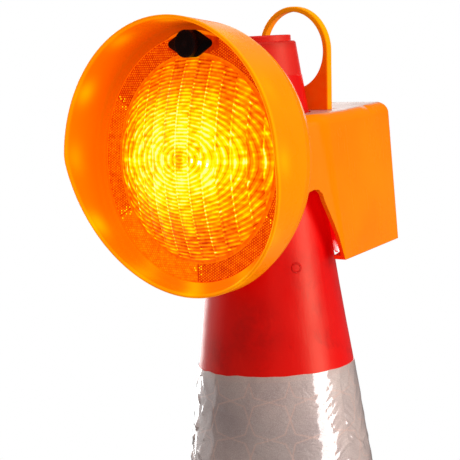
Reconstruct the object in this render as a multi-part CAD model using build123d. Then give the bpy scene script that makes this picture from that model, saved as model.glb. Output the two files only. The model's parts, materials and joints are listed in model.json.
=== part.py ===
from build123d import *
import math
import os

# Road cone with a cone-top hazard lamp, carried on a grip bush behind the lens.
# Frame: origin on the ground under the cone's axis, +Z up, the lamp faces -Y.
# Head frame: x as in the world, y up the lens, z forward along the lamp's axis; a name
# ending in _D is a distance along that axis, measured from the cone's axis.

# ---- cone ----
CONE_H = 750.0          # ground to the top of the neck ring
CONE_R0 = 26.2          # radius the taper would have at full height
CONE_TAPER = 0.133      # radius gained per mm of drop
CONE_WALL = 4.0
NECK_R, NECK_H = 23.0, 4.6
NECK_BORE_R, NECK_BORE_L = 18.5, 14.0
TIP_STEP_Z = CONE_H - 30.0
TIP_STEP = 0.4
FLANGE_R, FLANGE_T = 138.0, 5.0
SLEEVE_TOP = CONE_H - 248.4
SLEEVE_LEN, SLEEVE_T, SLEEVE_GAP = 290.0, 0.6, 0.03
BASE_SIDE, BASE_CHAMFER, BASE_T = 420.0, 62.0, 22.0
BASE_HUB_Z = 40.0       # top of the raised hub
BASE_GAP = 0.4          # between the base and the cone
CHANNEL_W, CHANNEL_H = 190, 3
NOTCH_L, NOTCH_W = 60, 20

# ---- lamp head ----
LENS_Z = CONE_H - 89.3  # height where the lamp's axis meets the cone's
TILT = math.radians(3.08)  # nose-up angle of the head
LENS_D = 79.33          # front face of the lens band
LENS_BACK_D = 76.8
LENS_R = 92.6
DOME_R, DOME_RISE, DOME_WALL = 75.0, 17.0, 2.5
BAND_R = 90.0           # visible edge of the lens band
HOOD_BACK_D, HOOD_BACK_R = 75.4, 99.26
HOOD_RIM_D, HOOD_RIM_R = 113.1, 103.1
HOOD_LOW_D = 88.6       # where the rim ends at the bottom
HOOD_T = 2.8
DISH_R = 96.0
DISH_BACK_D = 57.0
DISH_FLOOR = 2.5
BEZEL_HALF_W, BEZEL_HALF_H, BEZEL_TIP = 23.9, 9.8, 6
BEZEL_WIDE_D, BEZEL_RIM_T = 82.9, 0.7
KNOB_OFF = 82.7         # knob centre above the lens centre
KNOB_R = 10.0
KNOB_FRONT_D, KNOB_BACK_D = 89.4, 85.3
SHAFT_R = 3.0
RUN = 0.06              # radial running clearance
LED_BOARD_D = 64.6      # back of the LED board
LED_BOARD_T = 1.6
LED_SEAT_D = 66.25      # where parts and screws sit on the board
LEAD_HOLE, LEAD_HOLE_R = (34, 18), 4   # head x, y

# ---- collar, battery box ----
BOX_TOP = CONE_H - 58.5
BOX_BOT = CONE_H - 168.5
WALL = 3.0
COLLAR_BOT = CONE_H - 112.0
BUSH_T, BUSH_GAP = 2.0, 0.1
BATT_W, BATT_DEPTH, BATT_H = 70.0, 46.0, 92.2
BATT_Y0 = 56.5
BATT_Y = BATT_Y0 + BATT_DEPTH / 2
BATT_BOT = BOX_BOT + WALL + 2.3
BATT_TOP = BATT_BOT + BATT_H
TERMINALS = [(22, BATT_Y), (-22, BATT_Y)]
SPRING_Z = BATT_TOP + 0.85   # foot of the springs
RISE = 1.25             # degrees the box's underside rises toward the back
PIVOT_Y = 12.7          # where that rise starts
BOARD_TOP = BOX_TOP - WALL - 2.45
BOARD_UNDER = BOARD_TOP - 1.65

# ---- door, hinge, lock: drawn level, then tilted with the underside ----
HINGE_X, HINGE_Y, HINGE_Z = 31.0, 52.5, BOX_BOT + 0.1
KNUCKLE_R, DOOR_KNUCKLE_L, BOX_KNUCKLE_L = 2.6, 8.0, 4.1
KNUCKLE_STEP = DOOR_KNUCKLE_L / 2 + 0.3 + BOX_KNUCKLE_L / 2
PIN_HOLE_R, PIN_R, PIN_L = 1.25, 1.24, 13.6
LOCK_Z = CONE_H - 158.0
POST_TOP = CONE_H - 153.2
POST_BOT = BOX_BOT + WALL - 0.5

# ---- handle ----
LOOP_Z = CONE_H - 12.6  # centre of the loop's arc
LOOP_R_IN, LOOP_R_OUT = 29.4, 33.4
LOOP_FOOT = 31.4        # half width at the foot
LOOP_Y0, LOOP_T = 38.1, 6.4

# Half plan outlines of the box: half width, y, corner radius
OUTER_BOTTOM = [(44, -62, 0), (62, 12.7, 6), (38.5, 114.3, 2.5)]
OUTER_TOP = [(39.89, -62, 0), (56.86, -1.37, 40), (39.0, 108.5, 6)]
INNER_BOTTOM = [(41, -52, 0), (58.8, 12.7, 4), (35.2, 110, 2)]
INNER_TOP = [(37, -52, 0), (53.8, -1, 36), (35.6, 104, 4)]

# Half plan outlines of the battery opening and its door: half width, y
OPENING = [(36.2, 56.1), (36.2, 104.0), (34.6, 109.7)]
DOOR = [(35.8, 56.5), (35.8, 103.9), (34.2, 109.3)]

# Side view of the roof line: y, z
ROOF = [(-80, BOX_TOP), (45.6, BOX_TOP), (130, BOX_TOP + 2.9)]

# Side views of the arch under the collar and of its inner wall face:
# y, height from the cone's top
ARCH = [
    (-70, -185), (-70, -163), (-46, -146), (-31, -127), (-22, -118), (-17, -115),
    (-12.5, -113.6), (-8.5, -113.9), (-5.4, -117), (-3.2, -124), (-0.3, -131), (3.5, -140),
    (7.3, -150), (10.3, -162), (12.5, -170), (14.5, -185)]
ARCH_INNER = [
    (-70, -185), (-70, -160), (-46, -143), (-33.5, -125), (-24, -116), (-18.5, -112.6),
    (-13, -111), (-7, -111.2), (-3, -115.6), (-0.6, -123), (2.3, -130), (6.1, -139),
    (9.9, -149), (13, -161.5), (15.2, -169.8), (17.2, -185)]


# ---- helpers ----
def ring(radius, angles):
    """Points on a circle about the origin, at angles in degrees."""
    return [(radius * math.cos(math.radians(a)), radius * math.sin(math.radians(a)))
            for a in angles]


def cone_radius(z):
    """Outer radius of the cone at height z."""
    return CONE_R0 + CONE_TAPER * (CONE_H - z)


def polygon(points):
    return make_face(Polyline(*points, close=True))


def mirrored(half):
    """Closed outline from the points of its +X half."""
    return half + [(-x, y) for x, y in reversed(half)]


def turned(profile):
    """Closed profile of (radius, height) points turned about Z."""
    return revolve(polygon([(r, 0, z) for r, z in profile]), axis=Axis.Z)


def rod(x, y, bottom, top, radius):
    return Pos(x, y, bottom) * extrude(Circle(radius), amount=top - bottom)


def rod_x(x, y, z, radius, length):
    """Cylinder centred on the point, lying along X."""
    return Pos(x, y, z) * Rot(0, 90, 0) * Cylinder(radius, length)


def rod_y(y, z, radius, length):
    """Cylinder centred at x = 0, lying along Y."""
    return Pos(0, y, z) * Rot(90, 0, 0) * Cylinder(radius, length)


def side_prism(points, half_width):
    """Side-view outline extruded both ways along X."""
    return extrude(Plane.YZ * polygon(points), amount=half_width, both=True)


def wire_along(path, radius):
    return sweep(Plane(origin=path @ 0, z_dir=path % 0) * Circle(radius), path=path)


def screw(x, y, seat, tip, shank_r, head_r, head_h):
    """Cross-slotted screw along local Z: head above its seat, shank down to its tip."""
    body = rod(x, y, tip, seat + 0.2, shank_r) + rod(x, y, seat, seat + head_h, head_r)
    body = fillet(body.faces().sort_by(Axis.Z)[-1].edges(), head_h * 0.35)
    slot_l, slot_w, slot_h = head_r * 1.1, 0.7, 0.9
    slot_at = Pos(x, y, seat + head_h)
    return body - slot_at * Box(slot_l, slot_w, slot_h) - slot_at * Box(slot_w, slot_l, slot_h)


def screw_from_below(x, y, seat, tip, shank_r, head_r, head_h):
    return Pos(x, y, 0) * Rot(180, 0, 0) * screw(0, 0, -seat, -tip, shank_r, head_r, head_h)


# Places a shape drawn in the head frame
HEAD = Plane(origin=(0, 0, LENS_Z), x_dir=(1, 0, 0),
             z_dir=(0, -math.cos(TILT), math.sin(TILT))).location
# Tilts a shape with the underside of the box
TILTED = Pos(0, PIVOT_Y, BOX_BOT) * Rot(RISE, 0, 0) * Pos(0, -PIVOT_Y, -BOX_BOT)

# Screw places: carrier and LED screws in the head frame, the others in plan
CARRIER_SCREWS = ring(46, (60, 120, 240, 300))
LED_SCREWS = ring(34, (90, 210, 330))
BOARD_SCREWS = [(29, 56), (-29, 56), (29, 97), (-29, 97)]
HANDLE_SCREWS = [(23, 41.3), (-23, 41.3)]


# ---- cone and base ----
def cone_body():
    """Thin tapered shell with a neck ring and a base flange."""
    neck_bot = CONE_H - NECK_H
    bore_bot = CONE_H - NECK_BORE_L
    shoulder_r = cone_radius(neck_bot) - TIP_STEP
    step_bot = TIP_STEP_Z - 0.4
    body = turned([
        (NECK_BORE_R, CONE_H), (NECK_R, CONE_H), (NECK_R, neck_bot), (shoulder_r, neck_bot),
        (cone_radius(TIP_STEP_Z) - TIP_STEP, TIP_STEP_Z), (cone_radius(step_bot), step_bot),
        (cone_radius(FLANGE_T), FLANGE_T), (FLANGE_R, FLANGE_T), (FLANGE_R, 0),
        (cone_radius(0) - CONE_WALL, 0), (cone_radius(bore_bot) - CONE_WALL, bore_bot),
        (NECK_BORE_R, bore_bot)])
    shoulder = [e for e in body.edges().filter_by(GeomType.CIRCLE)
                if abs(e.radius - shoulder_r) < 0.01]
    body = fillet(shoulder, 3.2)
    rim = [e for e in body.edges().filter_by(GeomType.CIRCLE)
           if abs(e.radius - NECK_R) < 0.01 and abs(e.center().Z - CONE_H) < 0.01]
    return fillet(rim, 0.6)


def reflective_sleeve():
    """Thin band wrapped on the cone."""
    top, bottom = SLEEVE_TOP, SLEEVE_TOP - SLEEVE_LEN
    top_r, bottom_r = cone_radius(top), cone_radius(bottom)
    return turned([(top_r + SLEEVE_GAP, top), (top_r + SLEEVE_T, top),
                   (bottom_r + SLEEVE_T, bottom), (bottom_r + SLEEVE_GAP, bottom)])


def cone_base():
    """Heavy moulded plate dropped over the cone onto its flange."""
    half = BASE_SIDE / 2
    cut = half - BASE_CHAMFER
    plate = extrude(polygon([(half, -cut), (half, cut), (cut, half), (-cut, half),
                             (-half, cut), (-half, -cut), (-cut, -half), (cut, -half)]),
                    amount=BASE_T)
    plate = fillet(plate.edges().filter_by(Axis.Z), 14)
    plate = fillet(plate.faces().sort_by(Axis.Z)[-1].edges(), 5)
    base = plate + turned([
        (0, 2), (168, 2), (168, BASE_T), (146, BASE_T + 8),
        (cone_radius(BASE_HUB_Z) + 7, BASE_HUB_Z), (0, BASE_HUB_Z)])
    recess_top = FLANGE_T + 0.3
    recess_r = FLANGE_R + 0.6
    above_hub = BASE_HUB_Z + 1
    base -= turned([
        (0, -1), (recess_r, -1), (recess_r, recess_top),
        (cone_radius(recess_top) + BASE_GAP, recess_top),
        (cone_radius(above_hub) + BASE_GAP, above_hub), (0, above_hub)])
    # crossed channels underneath, open at all four sides
    channel_l = BASE_SIDE + 4
    base -= (extrude(Rectangle(channel_l, CHANNEL_W), amount=CHANNEL_H)
             + extrude(Rectangle(CHANNEL_W, channel_l), amount=CHANNEL_H))
    # a notch in the middle of each side, above the channels
    notch_z = BASE_T / 2 + CHANNEL_H
    for x in (half, -half):
        base -= Pos(x, 0, notch_z) * Box(NOTCH_W, NOTCH_L, BASE_T)
    for y in (half, -half):
        base -= Pos(0, y, notch_z) * Box(NOTCH_L, NOTCH_W, BASE_T)
    return base


def grip_bush():
    """Tapered sleeve on the cone, with a ledge the lamp turns on."""
    top, bottom = CONE_H - 64.0, COLLAR_BOT - 2.8
    ledge_z = COLLAR_BOT - 0.08
    ledge_w = 3.6
    collar_r = cone_radius(COLLAR_BOT)
    outer_gap = BUSH_GAP + BUSH_T
    return turned([
        (cone_radius(top) + BUSH_GAP, top), (cone_radius(top) + outer_gap, top),
        (collar_r + outer_gap, COLLAR_BOT), (collar_r + outer_gap, ledge_z),
        (collar_r + ledge_w, ledge_z), (cone_radius(bottom) + ledge_w, bottom),
        (cone_radius(bottom) + BUSH_GAP, bottom)])


# ---- lamp housing ----
def plan(half, z):
    """Face at height z from a half outline of (half width, y, corner radius) rows."""
    face = polygon(mirrored([(x, y) for x, y, _ in half]))
    for x, y, radius in half:
        if radius:
            picked = [v for v in face.vertices()
                      if abs(abs(v.X) - x) < 1e-3 and abs(v.Y - y) < 1e-3]
            face = fillet(picked, radius)
    return Pos(0, 0, z) * face


def from_cone_top(points):
    return [(y, CONE_H + z) for y, z in points]


def box_outside():
    """Box lofted past its roof, then cut to the roof line and the tilted underside."""
    outer = loft([plan(OUTER_BOTTOM, BOX_BOT), plan(OUTER_TOP, BOX_TOP + 3)], ruled=True)
    outer -= side_prism(ROOF + [(130, BOX_TOP + 20), (-80, BOX_TOP + 20)], 90)
    back_edge = [e for e in outer.edges()
                 if e.center().Z > BOX_TOP + 1.5 and e.center().Y > 106
                 and abs(e.center().X) < 1]
    outer = fillet(back_edge, 9)
    outer -= TILTED * Pos(0, PIVOT_Y + 60, BOX_BOT - 5) * Box(160, 122, 10)
    return outer


def box_cavity():
    """Inside of the box, less the collar, the arch's wall and the floor."""
    floor = TILTED * Pos(0, PIVOT_Y + 40, BOX_BOT + WALL - 10) * Box(160, 200, 20)
    inner = loft([plan(INNER_BOTTOM, BOX_BOT + WALL), plan(INNER_TOP, BOX_TOP - WALL)],
                 ruled=True)
    arch_wall = side_prism(from_cone_top(ARCH_INNER), 90)
    bottom, top = BOX_BOT - 5, BOX_TOP + 5
    collar = turned([(0, bottom), (cone_radius(bottom) + 6.5, bottom),
                     (cone_radius(top) + 6.5, top), (0, top)])
    # the cheeks are open inside, beside and ahead of the cone, up to the collar
    collar -= Pos(0, -30, COLLAR_BOT - 40) * Box(160, 120, 80)
    arch_wall &= Pos(0, -70, COLLAR_BOT) * Box(200, 120, 260)
    return inner - collar - arch_wall - floor


def cone_passage():
    """Bore for the cone, fitted to the grip bush through the collar."""
    bottom, top, roof_under = BOX_BOT - 5, BOX_TOP + 5, BOX_TOP - WALL
    fit = BUSH_T + 0.18
    mouth_r = cone_radius(BOX_TOP) + 1.6
    return turned([
        (0, bottom), (cone_radius(bottom) + 4.2, bottom),
        (cone_radius(COLLAR_BOT) + 4.2, COLLAR_BOT), (cone_radius(COLLAR_BOT) + fit, COLLAR_BOT),
        (cone_radius(roof_under) + fit, roof_under), (mouth_r, roof_under),
        (mouth_r, top), (0, top)])


def lamp_housing():
    """Battery box, collar and lamp dish in one piece."""
    dish = HEAD * turned([(0, DISH_BACK_D), (85, DISH_BACK_D), (92, 61), (DISH_R, 68),
                          (DISH_R, 79.2), (0, 79.2)])
    dish_floor_d = DISH_BACK_D + DISH_FLOOR
    dish_cavity = HEAD * turned([(0, dish_floor_d), (84, dish_floor_d), (88, 63), (88, 75.3),
                                 (93, 75.3), (93, 80), (0, 80)])
    housing = (box_outside() - side_prism(from_cone_top(ARCH), 90)) + dish
    housing = housing - dish_cavity - box_cavity() - cone_passage()

    # bosses for the carrier and the driver board, then the handle's screw holes
    for x, y in CARRIER_SCREWS:
        housing += HEAD * rod(x, y, 59.0, 62.0, 4)
        housing -= HEAD * rod(x, y, 58.6, 62.5, 1.55)
    for x, y in BOARD_SCREWS:
        housing += rod(x, y, BOX_TOP - WALL - 2.4, BOX_TOP - 1, 3.2)
        housing -= rod(x, y, BOX_TOP - WALL - 3, BOX_TOP - 1.6, 1.3)
    for x, y in HANDLE_SCREWS:
        housing -= rod(x, y, BOX_TOP - WALL - 1, BOX_TOP + 1, 1.8)
    housing -= HEAD * rod(*LEAD_HOLE, 48, 60, LEAD_HOLE_R)

    # battery opening, hinge knuckles and notches
    housing -= (TILTED * Pos(0, 0, BOX_BOT - 2)
                * extrude(polygon(mirrored(OPENING)), amount=WALL + 2.5))
    for side in (1, -1):
        x = side * HINGE_X
        for step in (-KNUCKLE_STEP, KNUCKLE_STEP):
            housing += TILTED * rod_x(side * (HINGE_X + step), HINGE_Y, HINGE_Z,
                                      KNUCKLE_R, BOX_KNUCKLE_L)
        housing -= TILTED * Pos(x, HINGE_Y + 1.6, HINGE_Z + 0.8) * Box(8.6, 9.0, 8.4)
        housing -= TILTED * rod_x(x, HINGE_Y, HINGE_Z, PIN_HOLE_R, 14.0)
    # hole for the lock in the back wall
    housing -= TILTED * rod_y(110, LOCK_Z, 5.0, 20)
    # shallow pockets in the roof behind the loop's foot
    for x in (26.5, -26.5):
        housing -= Pos(x, 50.6, BOX_TOP) * Box(8.0, 1.8, 1.8)
    return housing


# ---- hood and lens ----
def lozenge(half_w, half_h, tip, d):
    """Bezel outline: six rounded corners, pointed left and right, flat above and below."""
    face = polygon([(half_w, 0), (tip, half_h), (-tip, half_h),
                    (-half_w, 0), (-tip, -half_h), (tip, -half_h)])
    for corner_x, radius in ((half_w, 2.6), (tip, 5.0)):
        face = fillet([v for v in face.vertices() if abs(abs(v.X) - corner_x) < 1e-3], radius)
    return Pos(0, KNOB_OFF, d) * face


def hood():
    """Deep ring, cut back below, with a narrow lens-retaining lip."""
    body = turned([
        (HOOD_BACK_R, HOOD_BACK_D), (HOOD_RIM_R, HOOD_RIM_D), (HOOD_RIM_R - HOOD_T, HOOD_RIM_D),
        (97.2, 82.0), (BAND_R, 82.0), (BAND_R, 79.6), (96.3, 79.6), (96.15, HOOD_BACK_D)])
    body -= side_prism([(0, HOOD_RIM_D), (-HOOD_RIM_R, HOOD_LOW_D), (-130, HOOD_LOW_D - 7.2),
                        (-130, 135), (0, 135)], 140)
    # opening for the switch bezel
    body -= extrude(lozenge(BEZEL_HALF_W + 0.6, BEZEL_HALF_H + 0.5, BEZEL_TIP, 79.5),
                    amount=2.6)
    return HEAD * body


DOME_SPHERE_R = (DOME_R ** 2 + DOME_RISE ** 2) / (2 * DOME_RISE)
DOME_CENTRE_D = LENS_D + DOME_RISE - DOME_SPHERE_R


def dome_d(r, sphere_r):
    """Distance along the axis to a dome sphere, at radius r from the axis."""
    return DOME_CENTRE_D + math.sqrt(sphere_r ** 2 - r ** 2)


def lens():
    """Domed disc with a flat band round it, bored for the knob's shaft."""
    front = LENS_D + DOME_RISE
    inner_sphere_r = DOME_SPHERE_R - DOME_WALL
    inner_front = DOME_CENTRE_D + inner_sphere_r
    inner_r = math.sqrt(inner_sphere_r ** 2 - (LENS_BACK_D - DOME_CENTRE_D) ** 2)
    mid_r = 38
    edges = [
        ThreePointArc((0, 0, front), (mid_r, 0, dome_d(mid_r, DOME_SPHERE_R)),
                      (DOME_R, 0, LENS_D)),
        Line((DOME_R, 0, LENS_D), (LENS_R, 0, LENS_D)),
        Line((LENS_R, 0, LENS_D), (LENS_R, 0, LENS_BACK_D)),
        Line((LENS_R, 0, LENS_BACK_D), (inner_r, 0, LENS_BACK_D)),
        ThreePointArc((inner_r, 0, LENS_BACK_D), (mid_r, 0, dome_d(mid_r, inner_sphere_r)),
                      (0, 0, inner_front)),
        Line((0, 0, inner_front), (0, 0, front))]
    body = revolve(make_face(edges), axis=Axis.Z)
    body -= rod(0, KNOB_OFF, 70, 85, SHAFT_R + RUN)
    return HEAD * body


def lens_gasket():
    return HEAD * turned([(88.2, 75.35), (92.4, 75.35), (92.4, 76.75), (88.2, 76.75)])


# ---- light source ----
def led_carrier():
    """Disc with a flared rim, drilled for its screws, the leads and the LED screws."""
    body = turned([(0, 62.05), (72.5, 62.05), (72.5, 76.2), (71.0, 76.2), (54, 64.5), (0, 64.5)])
    for x, y in CARRIER_SCREWS:
        body -= rod(x, y, 60, 70, 1.6)
    body -= rod(*LEAD_HOLE, 60, 70, LEAD_HOLE_R)
    for x, y in LED_SCREWS:
        body -= rod(x, y, 62.8, 70, 1.25)
    return HEAD * body


def led_board():
    body = rod(0, 0, LED_BOARD_D, LED_BOARD_D + LED_BOARD_T, 40)
    for x, y in LED_SCREWS:
        body -= rod(x, y, 60, 70, 1.3)
    return HEAD * body


def leds():
    """One LED in the middle and six round it."""
    led = turned([(0, LED_SEAT_D), (2.9, LED_SEAT_D), (2.9, 67.2), (2.5, 67.2), (2.5, 71.8),
                  (2.2, 73.2), (1.4, 74.1), (0, 74.5)])
    return [HEAD * Pos(x, y, 0) * led for x, y in [(0, 0)] + ring(17, range(30, 390, 60))]


def photocell():
    return HEAD * Pos(0, -28, 0) * turned([
        (0, LED_SEAT_D), (3.2, LED_SEAT_D), (3.2, 70.4), (2.6, 71.0), (0, 71.0)])


def carrier_screws():
    return [HEAD * screw(x, y, seat=64.55, tip=58.9, shank_r=1.5, head_r=2.8, head_h=1.8)
            for x, y in CARRIER_SCREWS]


def led_screws():
    return [HEAD * screw(x, y, seat=LED_SEAT_D, tip=63.0, shank_r=1.2, head_r=2.3, head_h=1.5)
            for x, y in LED_SCREWS]


# ---- switch ----
def switch_bezel():
    """Lozenge plate fitted over the dome, tapering forward to the knob."""
    front_d = BEZEL_WIDE_D + BEZEL_RIM_T
    wide = (BEZEL_HALF_W, BEZEL_HALF_H, BEZEL_TIP)
    body = loft([lozenge(20.4, 8.6, BEZEL_TIP, LENS_D + 0.05), lozenge(*wide, BEZEL_WIDE_D)],
                ruled=True)
    body += extrude(lozenge(*wide, BEZEL_WIDE_D), amount=BEZEL_RIM_T)
    body += loft([lozenge(*wide, front_d), lozenge(14.0, 9.0, 5.2, KNOB_BACK_D - 0.1)],
                 ruled=True)
    body -= rod(0, KNOB_OFF, 70, 90, SHAFT_R + RUN)
    body -= rod(0, KNOB_OFF, 70, LENS_D + 1.7, 5.6)
    body -= Pos(0, 0, DOME_CENTRE_D) * Sphere(DOME_SPHERE_R + 0.08)
    return HEAD * body


def knob_seal():
    return HEAD * Pos(0, KNOB_OFF, LENS_D + 0.9) * Torus(4.35, 0.78)


def switch_knob():
    return HEAD * Pos(0, KNOB_OFF, 0) * turned([
        (0, 70.4), (SHAFT_R, 70.4), (SHAFT_R, KNOB_BACK_D), (KNOB_R, KNOB_BACK_D),
        (KNOB_R, KNOB_FRONT_D - 0.5), (KNOB_R - 0.5, KNOB_FRONT_D - 0.05), (0, KNOB_FRONT_D)])


def rotary_switch():
    """Switch body bored for the shaft, with three pins at its back."""
    body = rod(0, KNOB_OFF, 65.0, 76.7, 4.9) - rod(0, KNOB_OFF, 69.8, 80, SHAFT_R + RUN)
    for x in (-3, 0, 3):
        body += Pos(x, KNOB_OFF, 63.6) * Box(1.2, 0.5, 3.0)
    return HEAD * body


# ---- flasher board under the box's roof ----
def driver_board():
    board = Pos(0, 76.5, BOARD_TOP - 0.8) * Box(66, 49, 1.6)
    for x, y in BOARD_SCREWS:
        board -= rod(x, y, BOARD_TOP - 3, BOARD_TOP + 3, 1.4)
    return board


def driver_components():
    """Blocks and cans hanging under the board."""
    blocks = [  # x, y, then width, depth, height
        (0, 66, 8, 6, 1.8), (0, 90, 12, 5, 2.0), (-8, 78, 3.2, 1.6, 1.0),
        (8, 78, 3.2, 1.6, 1.0), (29, 66, 5, 8, 2.8)]
    cans = [(-12, 62, 3, 4.4), (12, 62, 4, 3.2)]  # x, y, radius, height
    return ([Pos(x, y, BOARD_UNDER - h / 2) * Box(w, d, h) for x, y, w, d, h in blocks]
            + [Pos(x, y, BOARD_UNDER - h / 2) * Cylinder(r, h) for x, y, r, h in cans])


def board_screws():
    return [screw_from_below(x, y, seat=BOARD_UNDER, tip=BOARD_TOP + 3.2,
                             shank_r=1.2, head_r=2.3, head_h=1.5) for x, y in BOARD_SCREWS]


# ---- battery ----
def battery():
    block = Pos(0, BATT_Y, BATT_BOT + BATT_H / 2) * Box(BATT_W, BATT_DEPTH, BATT_H)
    block = fillet(block.edges().filter_by(Axis.Z), 2.0)
    return fillet(block.faces().sort_by(Axis.Z)[-1].edges(), 1.0)


def battery_terminals():
    return [rod(x, y, BATT_TOP + 0.02, BATT_TOP + 0.8, 6.0) for x, y in TERMINALS]


def battery_springs():
    """Three-turn coils between the terminals and the board."""
    wire_r, turns = 0.45, 3.0
    coil_h = BOARD_UNDER - SPRING_Z - 2 * wire_r - 0.1
    springs = []
    for x, y in TERMINALS:
        path = Helix(pitch=coil_h / turns, height=coil_h, radius=4.2)
        springs.append(Pos(x, y, SPRING_Z + wire_r + 0.05) * wire_along(path, wire_r))
    return springs


# ---- battery door, hinge pins, lock ----
def battery_door():
    """Plate with two knuckles, a hooked post inside and four grooves below."""
    door = Pos(0, 0, BOX_BOT) * extrude(polygon(mirrored(DOOR)), amount=WALL)
    for x in (HINGE_X, -HINGE_X):
        door += Pos(x, HINGE_Y + 2.6, BOX_BOT + 1.2) * Box(DOOR_KNUCKLE_L, 5.6, 2.4)
        door += rod_x(x, HINGE_Y, HINGE_Z, KNUCKLE_R, DOOR_KNUCKLE_L)
        door -= rod_x(x, HINGE_Y, HINGE_Z, PIN_HOLE_R + 0.05, DOOR_KNUCKLE_L + 1)
    post_h = POST_TOP - POST_BOT
    door += Pos(-9.5, 105.7, POST_BOT + post_h / 2) * Box(3.0, 2.6, post_h)
    door += Pos(-6.2, 105.7, POST_TOP - 1.0) * Box(4.4, 2.6, 2.0)
    for k in range(4):
        door -= Pos(0, 66 + 9 * k, BOX_BOT - 0.1) * Box(44, 2.4, 1.6)
    return TILTED * door


def door_hinge_pins():
    return [TILTED * rod_x(x, HINGE_Y, HINGE_Z, PIN_R, PIN_L) for x in (HINGE_X, -HINGE_X)]


def lock_bush():
    return TILTED * (rod_y(109.85, LOCK_Z, 4.95, 5.2)
                     - rod_y(109.85, LOCK_Z, SHAFT_R + 0.05, 8))


def door_lock():
    """Round slotted head behind the back wall, its shaft and a square end inside."""
    lock = rod_y(116.1, LOCK_Z, 7.5, 3.0)
    lock = fillet(lock.faces().sort_by(Axis.Y)[-1].edges(), 0.9)
    lock += rod_y(110.5, LOCK_Z, SHAFT_R, 9.0)
    lock += Pos(0, 104.9, LOCK_Z) * Box(3.0, 2.6, 3.0)
    lock -= Pos(0, 117.3, LOCK_Z) * Box(2.0, 2.4, 10.0)
    return TILTED * lock


def lock_cam():
    """Tongue hanging from the lock's square end."""
    cam = Pos(0, 105.0, LOCK_Z) * (Pos(0, 0, -2.25) * Box(5.0, 1.9, 9.5) - Box(3.04, 4, 3.04))
    low_edges = [e for e in cam.edges().filter_by(Axis.Y) if e.center().Z < LOCK_Z - 6]
    return TILTED * fillet(low_edges, 2.0)


# ---- handle ----
def handle():
    """Flat loop behind the cone's tip."""
    foot_z = BOX_TOP + 0.05
    back_y = LOOP_Y0 + LOOP_T
    blank = make_face([
        Line((-LOOP_FOOT, foot_z), (LOOP_FOOT, foot_z)),
        Line((LOOP_FOOT, foot_z), (LOOP_R_OUT, LOOP_Z)),
        ThreePointArc((LOOP_R_OUT, LOOP_Z), (0, LOOP_Z + LOOP_R_OUT), (-LOOP_R_OUT, LOOP_Z)),
        Line((-LOOP_R_OUT, LOOP_Z), (-LOOP_FOOT, foot_z))])
    upright = Plane(origin=(0, back_y, 0), x_dir=(1, 0, 0), z_dir=(0, -1, 0))
    loop = extrude(upright * blank, amount=LOOP_T)
    # round the outline front and back, but not at the foot
    outline = [e for e in loop.edges()
               if min(abs(e.center().Y - LOOP_Y0), abs(e.center().Y - back_y)) < 0.01
               and e.center().Z > BOX_TOP + 1]
    loop = fillet(outline, 1.5)
    loop -= rod_y(LOOP_Y0 + LOOP_T / 2, LOOP_Z, LOOP_R_IN, 20)
    for x, y in HANDLE_SCREWS:
        loop -= rod(x, y, BOX_TOP - 1, BOX_TOP + 12, 1.5)
    return loop


def handle_screws():
    return [screw_from_below(x, y, seat=BOX_TOP - WALL - 0.05, tip=BOX_TOP + 10.5,
                             shank_r=1.45, head_r=2.4, head_h=1.8) for x, y in HANDLE_SCREWS]


# ---- leads ----
def head_point(x, y, d):
    """World point of a head-frame point."""
    return (x, -d * math.cos(TILT) + y * math.sin(TILT),
            LENS_Z + d * math.sin(TILT) + y * math.cos(TILT))


def lamp_leads():
    """Cable from the light source, round the cone's +X side, to the flasher board."""
    route = [
        head_point(*LEAD_HOLE, 64.0), head_point(*LEAD_HOLE, 59.0), head_point(34.4, 17, 53.0),
        (38.5, -36, CONE_H - 70), (43.5, -18, CONE_H - 73), (47.3, 2, CONE_H - 73),
        (45.5, 18, CONE_H - 72), (41.0, 34, CONE_H - 70.5), (36.2, 47, CONE_H - 69)]
    return wire_along(Spline(*route), 1.7)


# ---- one STEP file per piece, named after its function ----
PIECES = [
    cone_body, reflective_sleeve, cone_base, grip_bush, lamp_housing, hood, lens, lens_gasket,
    led_carrier, led_board, leds, photocell, carrier_screws, led_screws, switch_bezel,
    knob_seal, switch_knob, rotary_switch, driver_board, driver_components, board_screws,
    battery, battery_terminals, battery_springs, battery_door, door_hinge_pins, lock_bush,
    door_lock, lock_cam, handle, handle_screws, lamp_leads]

os.makedirs("parts", exist_ok=True)
for piece in PIECES:
    built = piece()
    shapes = built if isinstance(built, list) else [built]
    solids = [solid for shape in shapes for solid in shape.solids()]
    export_step(solids[0] if len(solids) == 1 else Compound(children=solids),
                f"parts/{piece.__name__}.step")
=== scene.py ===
# A red traffic cone with a reflective sleeve, carrying an amber lamp with a round lens and a hood.
# The cone stands on z = 0 with its axis on Z. The lamp faces -Y and tilts slightly upwards.
# Shapes are in millimetres until they become meshes. Materials, lights and camera are in metres.
import json
import math

import bpy
import numpy as np
from mathutils import Matrix, Vector


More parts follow.
